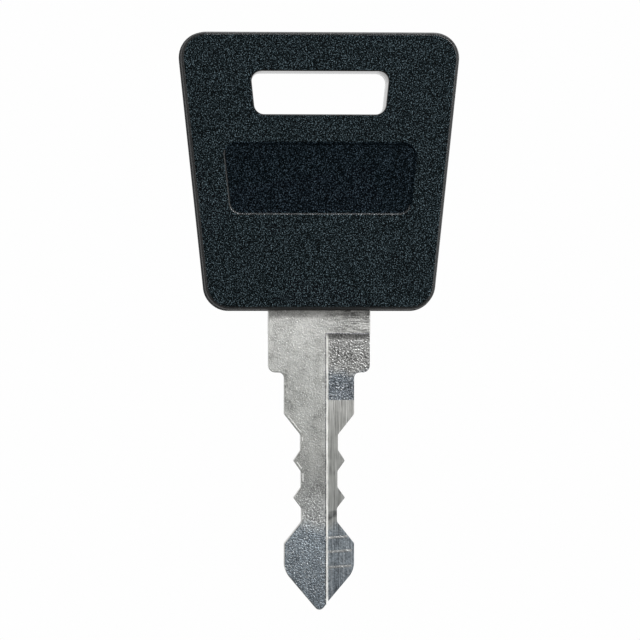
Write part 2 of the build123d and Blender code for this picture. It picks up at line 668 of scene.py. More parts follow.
    def add_streaked_patch(
        self,
        tree: bpy.types.NodeTree,
        place: bpy.types.NodeSocket,
        plating: bpy.types.NodeSocket,
        streaked_patch: StreakedPatch,
    ) -> bpy.types.NodeSocket:
        """Darken one patch of a face with fine streaks.

        Args:
            tree: The material's node tree.
            place: Object coordinates.
            plating: The plating's colour.
            streaked_patch: Where the streaks lie and how deep they are.

        Returns:
            The scuffed colour.
        """
        parts = add_node(tree, "ShaderNodeSeparateXYZ", {0: place})
        mask: bpy.types.NodeSocket | float = 1.0
        for axis, none, full in (
            ("X", streaked_patch.x_none, streaked_patch.x_full),
            ("Z", streaked_patch.z_none[0], streaked_patch.z_full[0]),
            ("Z", streaked_patch.z_none[1], streaked_patch.z_full[1]),
        ):
            share = add_node(
                tree,
                "ShaderNodeMapRange",
                {"Value": parts.outputs[axis], **across((none * MM, full * MM))},
            )
            mask = add_node(
                tree, "ShaderNodeMath", {0: mask, 1: share.outputs["Result"]}, operation="MULTIPLY"
            ).outputs["Value"]
        stretched = add_node(
            tree,
            "ShaderNodeMapping",
            {"Vector": place, "Scale": tuple(per_metre(size) for size in streaked_patch.streak_mm)},
        )
        streaks = add_node(
            tree,
            "ShaderNodeTexNoise",
            {"Vector": stretched.outputs["Vector"], "Scale": 1.0, "Detail": 2.0, "Roughness": 0.6},
        )
        shade = add_node(
            tree,
            "ShaderNodeMapRange",
            {
                "Value": streaks.outputs["Fac"],
                **across(streaked_patch.streak_span),
                "To Min": 1.0 - streaked_patch.depth,
                "To Max": 1.0,
            },
        )
        streaked = add_node(
            tree,
            "ShaderNodeMix",
            {0: mask, 6: plating, 7: shade.outputs["Result"]},
            data_type="RGBA",
            blend_type="MULTIPLY",
        )
        return streaked.outputs[2]

    def add_tones(self, tree: bpy.types.NodeTree, place: bpy.types.NodeSocket) -> bpy.types.NodeSocket:
        """Shade the plating from tip to head, with a blotchy edge to each change of tone.

        Args:
            tree: The material's node tree.
            place: Object coordinates.

        Returns:
            The plating's colour.
        """
        low, high = self.tones[0].z, self.tones[-1].z
        blotches = add_node(
            tree,
            "ShaderNodeTexNoise",
            {"Vector": place, "Scale": per_metre(self.blotch_mm), "Detail": 3.0},
        )
        parts = add_node(tree, "ShaderNodeSeparateXYZ", {0: place})
        wander = add_node(
            tree,
            "ShaderNodeMapRange",
            {
                "Value": blotches.outputs["Fac"],
                "To Min": -self.tone_wander_mm * MM,
                "To Max": self.tone_wander_mm * MM,
            },
            clamp=False,
        )
        height = add_node(
            tree,
            "ShaderNodeMath",
            {0: parts.outputs["Z"], 1: wander.outputs["Result"]},
            operation="ADD",
        )
        share = add_node(
            tree,
            "ShaderNodeMapRange",
            {"Value": height.outputs["Value"], **across((low * MM, high * MM))},
        )
        ramp = add_node(tree, "ShaderNodeValToRGB", {"Fac": share.outputs["Result"]})
        stops = ramp.color_ramp.elements
        stops[0].color = srgb(self.tones[0].colour)
        stops[1].color = srgb(self.tones[-1].colour)
        for tone in self.tones[1:-1]:
            stop = stops.new((tone.z - low) / (high - low))
            stop.color = srgb(tone.colour)
        return ramp.outputs["Color"]


# ---------------------------------------------------------------- head


class HeadSurface(Enum):
    """Surfaces of the head with their own mould finish; the value is the material slot's number."""

    FACE = 0
    SIDE_WALL = 1
    SLOT_WALL = 2
    # Also painted shade on the recess edges that face down or left.
    RECESS_FLOOR_AND_PAINTED_SHADE = 3
    RIM = 4
    # Painted highlight on the recess edge where it faces up.
    RECESS_LIP_PAINTED_HIGHLIGHT = 5


@dataclass(frozen=True)
class LeaningPrism:
    """Trapezium plate with rounded corners, the form of the head, its slot and its recess.

    Each side moves out by lean per millimetre of height, and the draft makes the whole outline
    smaller from wide_y to narrow_y.
    """

    base_z: float
    height: float
    mid_width: float
    lean: float
    base_corner_r: float
    top_corner_r: float
    wide_y: float
    narrow_y: float
    draft_deg: float
    corner_strips: int = 14

    def make(self, name: str) -> bpy.types.Object:
        """Shape the plate from a block.

        Args:
            name: Name of the new object.

        Returns:
            The plate, with its draft running from wide_y to narrow_y.
        """
        top_z = self.base_z + self.height
        low = Vector((-self.mid_width / 2, min(self.wide_y, self.narrow_y), self.base_z))
        high = Vector((self.mid_width / 2, max(self.wide_y, self.narrow_y), top_z))
        plate = new_block(low, high, name)
        centre = (low + high) / 2
        step = self.lean * self.height / self.mid_width
        with edit_mode(plate, Element.VERT):
            for z, share in ((top_z, 1 + step), (self.base_z, 1 - step)):
                pick(plate, Element.VERT, lambda at, _, z=z: is_at(at.z, z))
                bpy.ops.transform.resize(value=(share, 1, 1), center_override=centre)
            lean_deg = degrees(atan(self.lean))
            corners = (
                (top_z, self.top_corner_r, 90 - lean_deg),
                (self.base_z, self.base_corner_r, 90 + lean_deg),
            )
            for z, radius, inside_deg in corners:
                pick(
                    plate,
                    Element.EDGE,
                    lambda at, along, z=z: is_at(at.z, z) and abs(along.y) > ALONG,
                )
                bevel(radius / tan(radians(inside_deg / 2)), self.corner_strips)
            inset = 2 * abs(self.narrow_y - self.wide_y) * tan(radians(self.draft_deg))
            pick(plate, Element.VERT, lambda at, _: is_at(at.y, self.narrow_y))
            shrink = (1 - inset / self.mid_width, 1, 1 - inset / self.height)
            bpy.ops.transform.resize(value=shrink, center_override=centre)
        return plate


@dataclass
class HeadShell:
    """One half of the moulded head."""

    side: Side
    base_z: float
    top_z: float
    half_thickness: float
    base_width: float = 22.7
    top_width: float = 28.6
    base_corner_r: float = 2.5
    top_corner_r: float = 2.6
    draft_deg: float = 3.0
    face_edge_r: float = 0.4
    witness_chamfer: float = 0.05
    slot_base_z: float = 25.7
    slot_height: float = 4.3
    slot_width: float = 13.4
    slot_corner_r: float = 1.0
    slot_edge_r: float = 0.25
    slot_draft_deg: float = 1.5
    recess_base_z: float = 15.8
    recess_height: float = 7.0
    recess_width: float = 18.55
    recess_corner_r: float = 1.1
    recess_depth: float = 0.25
    recess_draft_deg: float = 25.0
    recess_edge_r: float = 0.16
    face_edge_strips: int = 6
    slot_edge_strips: int = 5
    recess_edge_strips: int = 3
    tang_half_width: float = 5.15
    tang_top_z: float = 22.05
    tang_corner: float = 1.0
    tang_half_thickness: float = 1.0
    anchor_z: tuple[float, float] = (11.0, 17.5)
    anchor_r: float = 1.5
    peg_clearance: float = 0.06
    peg_socket_depth: float = 0.8
    peg_tip_gap: float = 0.1
    node: str = field(init=False)

    def __post_init__(self) -> None:
        """Name the CAD node that this shell stands for."""
        self.node = "head_front_shell" if self.side is Side.FRONT else "head_rear_shell"

    @property
    def lean(self) -> float:
        """How far each side moves out per millimetre of height."""
        return (self.top_width - self.base_width) / (2 * (self.top_z - self.base_z))

    @property
    def face_y(self) -> float:
        """Plane of the outer face."""
        return self.side.value * self.half_thickness

    def plate(self) -> bpy.types.Object:
        """Form the outside: drafted walls, rounded face edge, a fine chamfer at the weld line.

        Returns:
            The plain shell.
        """
        shell = LeaningPrism(
            base_z=self.base_z,
            height=self.top_z - self.base_z,
            mid_width=(self.base_width + self.top_width) / 2,
            lean=self.lean,
            base_corner_r=self.base_corner_r,
            top_corner_r=self.top_corner_r,
            wide_y=0.0,
            narrow_y=self.face_y,
            draft_deg=self.draft_deg,
        ).make(self.node + "_moulding")
        with edit_mode(shell, Element.EDGE):
            pick(shell, Element.EDGE, lambda at, _: is_at(at.y, self.face_y))
            bevel(self.face_edge_r, self.face_edge_strips)
            pick(shell, Element.EDGE, lambda at, along: is_at(at.y, 0) and abs(along.y) < SQUARE)
            bevel(self.witness_chamfer, 1)
        return shell

    def cut_slot(self, shell: bpy.types.Object) -> None:
        """Cut the ring slot and round its rim.

        Args:
            shell: The shell to cut.
        """
        spare = 1.0
        mouth_y = self.face_y + self.side.value * spare
        at_face = 2 * spare * tan(radians(self.slot_draft_deg))
        tool = LeaningPrism(
            base_z=self.slot_base_z - at_face / 2,
            height=self.slot_height + at_face,
            mid_width=self.slot_width + at_face,
            lean=self.lean,
            base_corner_r=self.slot_corner_r,
            top_corner_r=self.slot_corner_r,
            wide_y=mouth_y,
            narrow_y=0.0,
            draft_deg=self.slot_draft_deg,
        ).make("slot_tool")
        with edit_mode(tool, Element.FACE):
            pick(tool, Element.FACE, lambda at, normal: normal.y * self.side.value < -ALONG)
            bpy.ops.mesh.extrude_region_move(
                TRANSFORM_OT_translate={"value": (0, -self.side.value * spare, 0)}
            )
        combine(shell, tool, Cut.REMOVE)
        margin = 0.1
        with edit_mode(shell, Element.EDGE):
            pick(
                shell,
                Element.EDGE,
                lambda at, _: is_at(at.y, self.face_y) and self.in_slot(at, margin),
            )
            bevel(self.slot_edge_r, self.slot_edge_strips)

    def cut_recess(self, shell: bpy.types.Object) -> None:
        """Sink the blank recess into the front face.

        Args:
            shell: The shell to cut.
        """
        spare = 0.2
        flare = 2 * spare * tan(radians(self.recess_draft_deg))
        tool = LeaningPrism(
            base_z=self.recess_base_z - flare / 2,
            height=self.recess_height + flare,
            mid_width=self.recess_width + flare,
            lean=self.lean,
            base_corner_r=self.recess_corner_r,
            top_corner_r=self.recess_corner_r,
            wide_y=self.face_y + self.side.value * spare,
            narrow_y=self.face_y - self.side.value * self.recess_depth,
            draft_deg=self.recess_draft_deg,
        ).make("recess_tool")
        combine(shell, tool, Cut.REMOVE)
        with edit_mode(shell, Element.EDGE):
            pick(
                shell,
                Element.EDGE,
                lambda at, _: is_at(at.y, self.face_y) and self.in_recess(at, spare),
            )
            bevel(self.recess_edge_r, self.recess_edge_strips)

    def cut_tang_pocket(self, shell: bpy.types.Object) -> None:
        """Open the pocket that the blade's tang lies in, through the foot of the head.

        Args:
            shell: The shell to cut.
        """
        past_joint, past_foot = 0.5, 1.0
        floor_y = self.side.value * self.tang_half_thickness
        open_y = -self.side.value * past_joint
        low = Vector((-self.tang_half_width, min(open_y, floor_y), self.base_z - past_foot))
        high = Vector((self.tang_half_width, max(open_y, floor_y), self.tang_top_z))
        tool = new_block(low, high, "tang_tool")
        with edit_mode(tool, Element.EDGE):
            pick(
                tool,
                Element.EDGE,
                lambda at, along: is_at(at.z, self.tang_top_z) and abs(along.y) > ALONG,
            )
            bevel(self.tang_corner, 1)
        combine(shell, tool, Cut.REMOVE)

    def fit_pegs(self, shell: bpy.types.Object) -> None:
        """Add the rear shell's pegs, or bore the front shell's sockets for them.

        Args:
            shell: The shell to change.
        """
        spare = 0.5
        reach = self.tang_half_thickness + self.peg_socket_depth
        for z in self.anchor_z:
            if self.side is Side.FRONT:
                combine(shell, new_peg(self.anchor_r, -reach, spare, z), Cut.REMOVE)
            else:
                radius = self.anchor_r - self.peg_clearance
                root = self.tang_half_thickness + spare
                combine(shell, new_peg(radius, self.peg_tip_gap - reach, root, z), Cut.ADD)

    def in_slot(self, at: Vector, margin: float) -> bool:
        """Whether a place, in millimetres, is in front of or behind the ring slot.

        Args:
            at: The place.
            margin: How far outside the slot still counts.

        Returns:
            True if it is.
        """
        half_width = self.slot_width / 2 + self.lean * self.slot_height / 2 + margin
        low_z, high_z = self.slot_base_z - margin, self.slot_base_z + self.slot_height + margin
        return abs(at.x) < half_width and low_z < at.z < high_z

    def in_recess(self, at: Vector, margin: float) -> bool:
        """Whether a place, in millimetres, is in front of or behind the blank recess.

        Args:
            at: The place.
            margin: How far outside the recess still counts.

        Returns:
            True if it is.
        """
        half_width = self.recess_width / 2 + self.lean * self.recess_height / 2 + 2 * margin
        low_z, high_z = self.recess_base_z - margin, self.recess_base_z + self.recess_height + margin
        return abs(at.x) < half_width and low_z < at.z < high_z

    def surface_rules(self) -> tuple[tuple[HeadSurface, Test], ...]:
        """List which faces of the finished shell belong to which surface.

        Returns:
            Each surface with its test, which takes a face's centre in metres and its normal.
        """
        side_tilt, rim_tilt, slot_rim_tilt, floor_tilt = 0.25, 0.97, 0.75, 0.95
        lip_tilt = 0.2
        slot_margin, recess_margin = 0.3, 0.25
        sunk_y = self.half_thickness - 0.1
        pocket_y = 1.5

        def is_side(at: Vector, normal: Vector) -> bool:
            """Walls round the head, the pocket and the pegs."""
            return abs(normal.y) < side_tilt and not self.in_slot(at / MM, slot_margin)

        def is_slot_wall(at: Vector, normal: Vector) -> bool:
            """Walls of the ring slot, with the steep part of its rim."""
            return abs(normal.y) < slot_rim_tilt and self.in_slot(at / MM, slot_margin)

        def is_rim(at: Vector, normal: Vector) -> bool:
            """Rounded edges, except the slot's."""
            return side_tilt <= abs(normal.y) < rim_tilt and not self.in_slot(at / MM, slot_margin)

        def is_sunk(at: Vector) -> bool:
            """Anywhere in the blank recess, its edge too."""
            is_front = self.side is Side.FRONT and abs(at.y) > pocket_y * MM
            return is_front and self.in_recess(at / MM, recess_margin)

        def is_recess_or_shaded_edge(at: Vector, normal: Vector) -> bool:
            """Floor of the recess, with the edges that face down or left, which take its dark finish as
            painted shade.
            """
            is_floor = normal.y < -floor_tilt and abs(at.y) < sunk_y * MM
            return is_sunk(at) and (is_floor or min(normal.x, normal.z) < -lip_tilt)

        def is_lit_lip(at: Vector, normal: Vector) -> bool:
            """Edge of the recess where it faces up, painted light as a highlight."""
            return is_sunk(at) and normal.z > lip_tilt and abs(normal.y) < rim_tilt

        # The recess edges take lit and shaded copies of the grain by the way they face: a painted
        # highlight facing up, the rim's finish facing right, painted shade facing down or left.
        return (
            (HeadSurface.SIDE_WALL, is_side),
            (HeadSurface.SLOT_WALL, is_slot_wall),
            (HeadSurface.RIM, is_rim),
            (HeadSurface.RECESS_FLOOR_AND_PAINTED_SHADE, is_recess_or_shaded_edge),
            (HeadSurface.RECESS_LIP_PAINTED_HIGHLIGHT, is_lit_lip),
        )

    def build(self, finishes: Finishes) -> bpy.types.Object:
        """Model the shell and dress it.

        Args:
            finishes: One material for each surface.

        Returns:
            The finished shell, riding with the key.
        """
        shell = self.plate()
        self.cut_slot(shell)
        if self.side is Side.FRONT:
            self.cut_recess(shell)
        self.cut_tang_pocket(shell)
        self.fit_pegs(shell)
        finish_piece(shell)
        dress(shell, finishes, self.surface_rules())
        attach(shell, "root")
        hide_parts(self.node)
        return shell


# ---------------------------------------------------------------- blade


class Zone(Enum):
    """Surface zones of the blade; the value is the material slot's number."""

    STAMPED_FACE = 0
    MILLED_FLOOR = 1
    COINED_PATCH = 2
    CUT_EDGE = 3
    RABBET_WALL = 4
    PAINTED_SHADE_STRIP = 5
    RIDGE = 6
    EDGE_BURR = 7


@dataclass
class KeyBlade:
    """Stamped and milled blade with its tang.

    Both edges are alike, and the rear rabbet is the front one, half a turn round the key's axis.
    """

    tip_z: float
    half_thickness: float
    shoulder_half_width: float = 5.1
    shoulder_corner_r: float = 0.7
    shoulder_root_r: float = 0.55
    guide_half_width: float = 3.525
    guide_length: float = 4.15
    guide_corner_r: float = 0.3
    taper_length: float = 2.05
    neck_half_widths: tuple[float, ...] = (1.9, 1.85, 1.8)
    neck_lengths: tuple[float, ...] = (1.55, 1.6, 1.35)
    neck_root_r: float = 0.4
    tooth_half_width: float = 2.6
    tooth_length: float = 2.1
    tooth_tip_r: float = 0.12
    arrow_half_width: float = 3.515
    arrow_flare_length: float = 2.15
    arrow_side_length: float = 2.75
    arrow_slope: float = 0.845
    arrow_flare_r: float = 0.3
    arrow_corner_r: float = 2.0
    tip_r: float = 0.55
    tang_top_z: float = 22.0
    tang_corner: float = 1.0
    anchor_z: tuple[float, float] = (11.0, 17.5)
    anchor_r: float = 1.5
    rabbet_top_z: float = 3.85
    rabbet_depth: float = 0.75
    rabbet_wall_x: float = 0.8
    rabbet_wall_deg: float = 18.0
    edge_r: float = 0.11
    edge_strips: int = 3
    tang_plain_length: float = 2.0
    patch_base_z: float = -2.75
    patch_depth: float = 0.04
    patch_wall_gap: float = 0.03
    patch_top_gap: float = 0.02
    # Width of the strips beside and above each rabbet that are painted as shade.
    shade_strip_width: float = 0.09
    # For each ridge, its z and the x where it ends near the blade's edge.
    ridges: tuple[tuple[float, float], ...] = ((-16.45, 2.85), (-17.85, 3.3), (-19.4, 3.25))
    ridge_width: float = 0.34
    ridge_height: float = 0.04
    # How much of the foot's length, depth and width a crest keeps, here and for the burrs below.
    ridge_crest: tuple[float, float, float] = (1.0, 1.0, 0.5)
    ridge_tilt_deg: float = 4.0
    # Where each burr starts and ends along the left edge: x and z, then x and z.
    edge_burrs: tuple[tuple[float, float, float, float], ...] = (
        (-3.35, -4.37, -2.0, -6.07),
        (-1.9, -6.4, -1.9, -6.85),
        (-2.45, -9.0, -1.92, -9.72),
        (-1.85, -10.0, -1.85, -10.9),
    )
    edge_burr_width: float = 0.2
    edge_burr_height: float = 0.03
    edge_burr_crest: tuple[float, float, float] = (0.9, 1.0, 0.4)
    edge_burr_inset: float = 0.2
    root_depth: float = 0.05
    node: str = "key_blade"

    def right_corners(self) -> list[tuple[float, float, float]]:
        """List the corners of the right edge, from the tang down to the arrow head.

        Returns:
            For each corner its half width, height and radius.
        """
        half = self.shoulder_half_width
        corners = [
            (half - self.tang_corner, self.tang_top_z, 0.0),
            (half, self.tang_top_z - self.tang_corner, 0.0),
            (half, 0.0, self.shoulder_corner_r),
            (self.guide_half_width, 0.0, self.shoulder_root_r),
            (self.guide_half_width, -self.guide_length, self.guide_corner_r),
        ]
        z = -self.guide_length - self.taper_length
        for neck, (width, length) in enumerate(zip(self.neck_half_widths, self.neck_lengths)):
            if neck > 0:
                corners.append((self.tooth_half_width, z - self.tooth_length / 2, self.tooth_tip_r))
                z -= self.tooth_length
            corners.append((width, z, self.neck_root_r))
            z -= length
            corners.append((width, z, self.neck_root_r))
        z -= self.arrow_flare_length
        corners.append((self.arrow_half_width, z, self.arrow_flare_r))
        z -= self.arrow_side_length
        corners.append((self.arrow_half_width, z, self.arrow_corner_r))
        return corners

    def outline(self) -> bpy.types.Object:
        """Draw the flat outline corner by corner, fill it and round its corners.

        Returns:
            The outline, in the plane of the front face.
        """
        wide_r, wide_strips, narrow_strips = 1.0, 10, 6
        right = self.right_corners()
        sharp_tip_z = right[-1][1] - self.arrow_half_width / self.arrow_slope
        points = [(x, z) for x, z, _ in right] + [(0.0, sharp_tip_z)]
        points += [(-x, z) for x, z, _ in reversed(right)]
        bpy.ops.object.select_all(action="DESELECT")
        bpy.ops.mesh.primitive_plane_add(size=1, location=(0, 0, 0))
        blank = bpy.context.object
        blank.name = "key_blade_plated"
        first = Vector((points[0][0], -self.half_thickness, points[0][1]))
        with edit_mode(blank, Element.VERT):
            bpy.ops.mesh.select_all(action="SELECT")
            bpy.ops.mesh.merge(type="CENTER")
            bpy.ops.transform.translate(value=first)
            for (x, z), (next_x, next_z) in zip(points, points[1:]):
                step = (next_x - x, 0, next_z - z)
                bpy.ops.mesh.extrude_vertices_move(TRANSFORM_OT_translate={"value": step})
            bpy.ops.mesh.select_all(action="SELECT")
            bpy.ops.mesh.edge_face_add()
            for index, (x, z, radius) in enumerate(right + [(0.0, sharp_tip_z, self.tip_r)]):
                if radius == 0:
                    continue
                here = Vector((x, 0, z))
                before = Vector((points[index - 1][0], 0, points[index - 1][1]))
                after = Vector((points[index + 1][0], 0, points[index + 1][1]))
                inside = (before - here).angle(after - here)
                pick(
                    blank,
                    Element.VERT,
                    lambda at, _, x=x, z=z: is_at(abs(at.x), x) and is_at(at.z, z),
                )
                strips = wide_strips if radius > wide_r else narrow_strips
                bevel(radius / tan(inside / 2), strips, corners=True)
        return blank

    def thicken(self, blank: bpy.types.Object) -> None:
        """Give the outline its thickness and roll the rims of both faces.

        Args:
            blank: The flat outline at the front face.
        """
        rolled_top_z = self.tang_top_z - self.tang_plain_length
        with edit_mode(blank, Element.FACE):
            bpy.ops.mesh.select_all(action="SELECT")
            bpy.ops.mesh.extrude_region_move(
                TRANSFORM_OT_translate={"value": (0, 2 * self.half_thickness, 0)}
            )
            bpy.ops.mesh.select_all(action="SELECT")
            bpy.ops.mesh.normals_make_consistent(inside=False)
            pick(
                blank,
                Element.EDGE,
                lambda at, _: is_at(abs(at.y), self.half_thickness) and at.z < rolled_top_z,
            )
            bevel(self.edge_r, self.edge_strips)

    @property
    def floor_y(self) -> float:
        """Plane of the front rabbet's floor."""
        return self.rabbet_depth - self.half_thickness

    @property
    def wall_run(self) -> float:
        """How far the rabbet's slanted wall moves out from the face to the floor."""
        return self.rabbet_depth * tan(radians(self.rabbet_wall_deg))

    @property
    def wall_foot_x(self) -> float:
        """Where the front rabbet's wall meets its floor."""
        return self.rabbet_wall_x + self.wall_run / 2

    @property
    def wall_top_x(self) -> float:
        """Where the front rabbet's wall meets the front face."""
        return self.rabbet_wall_x - self.wall_run / 2

    def rabbet_tool(self) -> bpy.types.Object:
        """Shape the cutter's path for the front rabbet, with its slanted wall.

        Returns:
            The tool.
        """
        past_face, past_tip, past_edge = 0.5, 2.0, 2.0
        low = Vector((self.wall_top_x, -self.half_thickness - past_face, self.tip_z - past_tip))
        high = Vector((self.shoulder_half_width + past_edge, self.floor_y, self.rabbet_top_z))
        tool = new_block(low, high, "rabbet_tool")
        slant = tan(radians(self.rabbet_wall_deg))
        with edit_mode(tool, Element.VERT):
            pick(tool, Element.VERT, lambda at, _: is_at(at.x, low.x) and is_at(at.y, high.y))
            bpy.ops.transform.translate(value=(self.wall_run, 0, 0))
            pick(tool, Element.VERT, lambda at, _: is_at(at.x, low.x) and is_at(at.y, low.y))
            bpy.ops.transform.translate(value=(-past_face * slant, 0, 0))
        return tool

    def patch_tool(self) -> bpy.types.Object:
        """Shape the flat punch that sinks the coined patch a little into the rabbet's floor.

        Returns:
            The tool.
        """
        above_floor, past_edge = 0.3, 1.0
        low_x, low_y = self.wall_foot_x + self.patch_wall_gap, self.floor_y - above_floor
        high_y, high_z = self.floor_y + self.patch_depth, self.rabbet_top_z - self.patch_top_gap
        low = Vector((low_x, low_y, self.patch_base_z))
        high = Vector((self.shoulder_half_width + past_edge, high_y, high_z))
        return new_block(low, high, "coining_punch")

    def ridge_tool(self, z: float, end_x: float) -> bpy.types.Object:
        """Shape one low ridge that the cutter left across the rabbet's floor.

        Args:
            z: Height of the ridge's middle.
            end_x: Where the ridge ends, just inside the blade's edge.

        Returns:
            The ridge, with its foot in the floor.
        """
        in_wall = 0.02
        start_x, crest_y = self.wall_foot_x - in_wall, self.floor_y - self.ridge_height
        low = Vector((start_x, crest_y, z - self.ridge_width / 2))
        high = Vector((end_x, self.floor_y + self.root_depth, z + self.ridge_width / 2))
        ridge = new_block(low, high, "cutter_ridge")
        with edit_mode(ridge, Element.VERT):
            pick(ridge, Element.VERT, lambda at, _: is_at(at.y, low.y))
            bpy.ops.transform.resize(value=self.ridge_crest, center_override=(low + high) / 2)
            bpy.ops.mesh.select_all(action="SELECT")
            bpy.ops.transform.rotate(
                value=radians(self.ridge_tilt_deg), orient_axis="Y", center_override=(low + high) / 2
            )
        return ridge

    def edge_burr_tool(self, x: float, z: float, end_x: float, end_z: float) -> bpy.types.Object:
        """Shape one burr that the cutter rolled onto the front face, beside the blade's left edge.

        Args:
            x: Where the stretch of edge starts, its upper end.
            z: Height of that end.
            end_x: Where it ends.
            end_z: Height of that end.

        Returns:
            The burr, with its foot in the face.
        """
        run, drop = end_x - x, end_z - z
        length = hypot(run, drop)
        middle = Vector(((x + end_x) / 2, -self.half_thickness, (z + end_z) / 2))
        middle += Vector((-drop, 0, run)) * (self.edge_burr_inset / length)
        reach = Vector((length / 2, 0, self.edge_burr_width / 2))
        low = middle - reach - Vector((0, self.edge_burr_height, 0))
        high = middle + reach + Vector((0, self.root_depth, 0))
        burr = new_block(low, high, "edge_burr")
        with edit_mode(burr, Element.VERT):
            pick(burr, Element.VERT, lambda at, _: is_at(at.y, low.y))
            bpy.ops.transform.resize(value=self.edge_burr_crest, center_override=(low + high) / 2)
            bpy.ops.mesh.select_all(action="SELECT")
            bpy.ops.transform.rotate(
                value=atan2(drop, run), orient_axis="Y", center_override=(low + high) / 2
            )
        return burr

    def work_both_sides(
        self, blank: bpy.types.Object, make_tool: Callable[[], bpy.types.Object], cut: Cut
    ) -> None:
        """Do the same work on the front right and, half a turn round, on the rear left.

        Args:
            blank: The blade so far.
            make_tool: Makes the tool for the front.
            cut: Whether the tool removes or adds material.
        """
        combine(blank, make_tool(), cut)
        twin = make_tool()
        with edit_mode(twin, Element.VERT):
            bpy.ops.mesh.select_all(action="SELECT")
            bpy.ops.transform.rotate(value=radians(180), orient_axis="Z", center_override=(0, 0, 0))
        combine(blank, twin, cut)

    def mark_shade_strips(self, blank: bpy.types.Object) -> None:
        """Part off the narrow strips beside and above each rabbet, which take the painted shade of the
        burr that the cutter raised there.

        Args:
            blank: The milled blade.
        """
        for side in Side:
            turn = -side.value
            for place, direction in (
                (Vector((turn * (self.wall_top_x - self.shade_strip_width), 0, 0)), Vector((1, 0, 0))),
                (Vector((turn * self.wall_top_x, 0, 0)), Vector((1, 0, 0))),
                (Vector((0, 0, self.rabbet_top_z + self.shade_strip_width)), Vector((0, 0, 1))),
            ):
                with edit_mode(blank, Element.FACE):
                    pick(
                        blank,
                        Element.FACE,
                        lambda at, normal, side=side: normal.y * side.value > ALONG
                        and is_at(at.y, side.value * self.half_thickness),
                    )
                    bpy.ops.mesh.bisect(plane_co=place, plane_no=direction)

    def zone_rules(self) -> tuple[tuple[Zone, Test], ...]:
        """List which faces of the finished blade belong to which zone.

        Returns:
            Each zone with its test, which takes a face's centre in metres and its normal.
        """
        floor_y = -self.floor_y * MM
        patch_y = floor_y - self.patch_depth * MM
        face_y = self.half_thickness * MM
        hair = 0.01 * MM
        floor_reach, wall_reach, clear_of_tip = 0.1 * MM, 0.2 * MM, 0.5 * MM
        facing, flat = 0.7, 0.95
        strip_low_x, strip_high_x = (self.wall_top_x - self.shade_strip_width) * MM, self.wall_top_x * MM
        strip_low_z = self.rabbet_top_z * MM
        strip_high_z = strip_low_z + self.shade_strip_width * MM

        def on_floor(at: Vector, normal: Vector) -> bool:
            """Floor of a rabbet, with what stands on it."""
            return abs(normal.y) > facing and abs(at.y) < floor_y + floor_reach

        def on_patch(at: Vector, normal: Vector) -> bool:
            """Floor of a coined patch."""
            return abs(normal.y) > flat and abs(abs(at.y) - patch_y) < hair

        def on_wall(at: Vector, normal: Vector) -> bool:
            """Slanted wall of a rabbet."""
            inside = abs(abs(at.x) - self.rabbet_wall_x * MM) < wall_reach
            return inside and abs(normal.x) > facing and at.z > self.tip_z * MM + clear_of_tip

        def on_ridge(at: Vector, normal: Vector) -> bool:
            """Torn ridge on a rabbet's floor."""
            return on_floor(at, normal) and abs(at.y) > floor_y + hair

        def on_edge(at: Vector, normal: Vector) -> bool:
            """Stamped edge of the blade, with its rolled rims."""
            return abs(normal.y) < ALONG

        def on_edge_burr(at: Vector, normal: Vector) -> bool:
            """Burr that stands proud of the front face."""
            return at.y < -(face_y + hair / 2)

        def on_shade_strip(at: Vector, normal: Vector) -> bool:
            """Strip of a face, left of a rabbet or above it as one looks at that face, painted as shade.
            """
            x = -at.x if at.y > 0 else at.x
            beside = strip_low_x < x < strip_high_x and at.z < strip_high_z
            above = x > strip_high_x and strip_low_z < at.z < strip_high_z
            return abs(normal.y) >= ALONG and abs(at.y) >= face_y - hair and (beside or above)

        return (
            (Zone.CUT_EDGE, on_edge),
            (Zone.RABBET_WALL, on_wall),
            (Zone.MILLED_FLOOR, on_floor),
            (Zone.COINED_PATCH, on_patch),
            (Zone.RIDGE, on_ridge),
            (Zone.PAINTED_SHADE_STRIP, on_shade_strip),
            (Zone.EDGE_BURR, on_edge_burr),
        )

    def build(self, finishes: Finishes) -> bpy.types.Object:
        """Model the blade and dress its zones.

        Args:
            finishes: One material for each zone.

        Returns:
            The finished blade, riding with the key.
        """
        blade = self.outline()
        self.thicken(blade)
        past_blade_y = 2 * self.half_thickness
        for z in self.anchor_z:
            combine(blade, new_peg(self.anchor_r, -past_blade_y, past_blade_y, z), Cut.REMOVE)
        self.work_both_sides(blade, self.rabbet_tool, Cut.REMOVE)
        self.work_both_sides(blade, self.patch_tool, Cut.REMOVE)
        for z, end_x in self.ridges:
            self.work_both_sides(blade, lambda z=z, end_x=end_x: self.ridge_tool(z, end_x), Cut.ADD)
        for stretch in self.edge_burrs:
            combine(blade, self.edge_burr_tool(*stretch), Cut.ADD)
        self.mark_shade_strips(blade)
        finish_piece(blade)
        dress(blade, finishes, self.zone_rules())
        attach(blade, "root")
        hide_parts(self.node)
        return blade


# ---------------------------------------------------------------- studio


@dataclass(frozen=True)
class SoftLight:
    """A large soft lamp that points at the key; sizes and places in millimetres."""

    name: str
    place: tuple[float, float, float]
    size: float
    watts: float
    colour: str = "#ffffff"

    def make(self, target: Vector) -> bpy.types.Object:
        """Hang the lamp.

        Args:
            target: The point that it faces, in metres.

        Returns:
            The lamp.
        """
        lamp = bpy.data.lights.new(self.name, "AREA")
        lamp.shape = "DISK"
        lamp.size = self.size * MM
        lamp.energy = self.watts
        lamp.color = srgb(self.colour)[:3]
        obj = bpy.data.objects.new(self.name, lamp)
        bpy.context.scene.collection.objects.link(obj)
        obj.location = Vector(self.place) * MM
        obj.rotation_euler = (target - obj.location).to_track_quat("-Z", "Y").to_euler()
        return obj


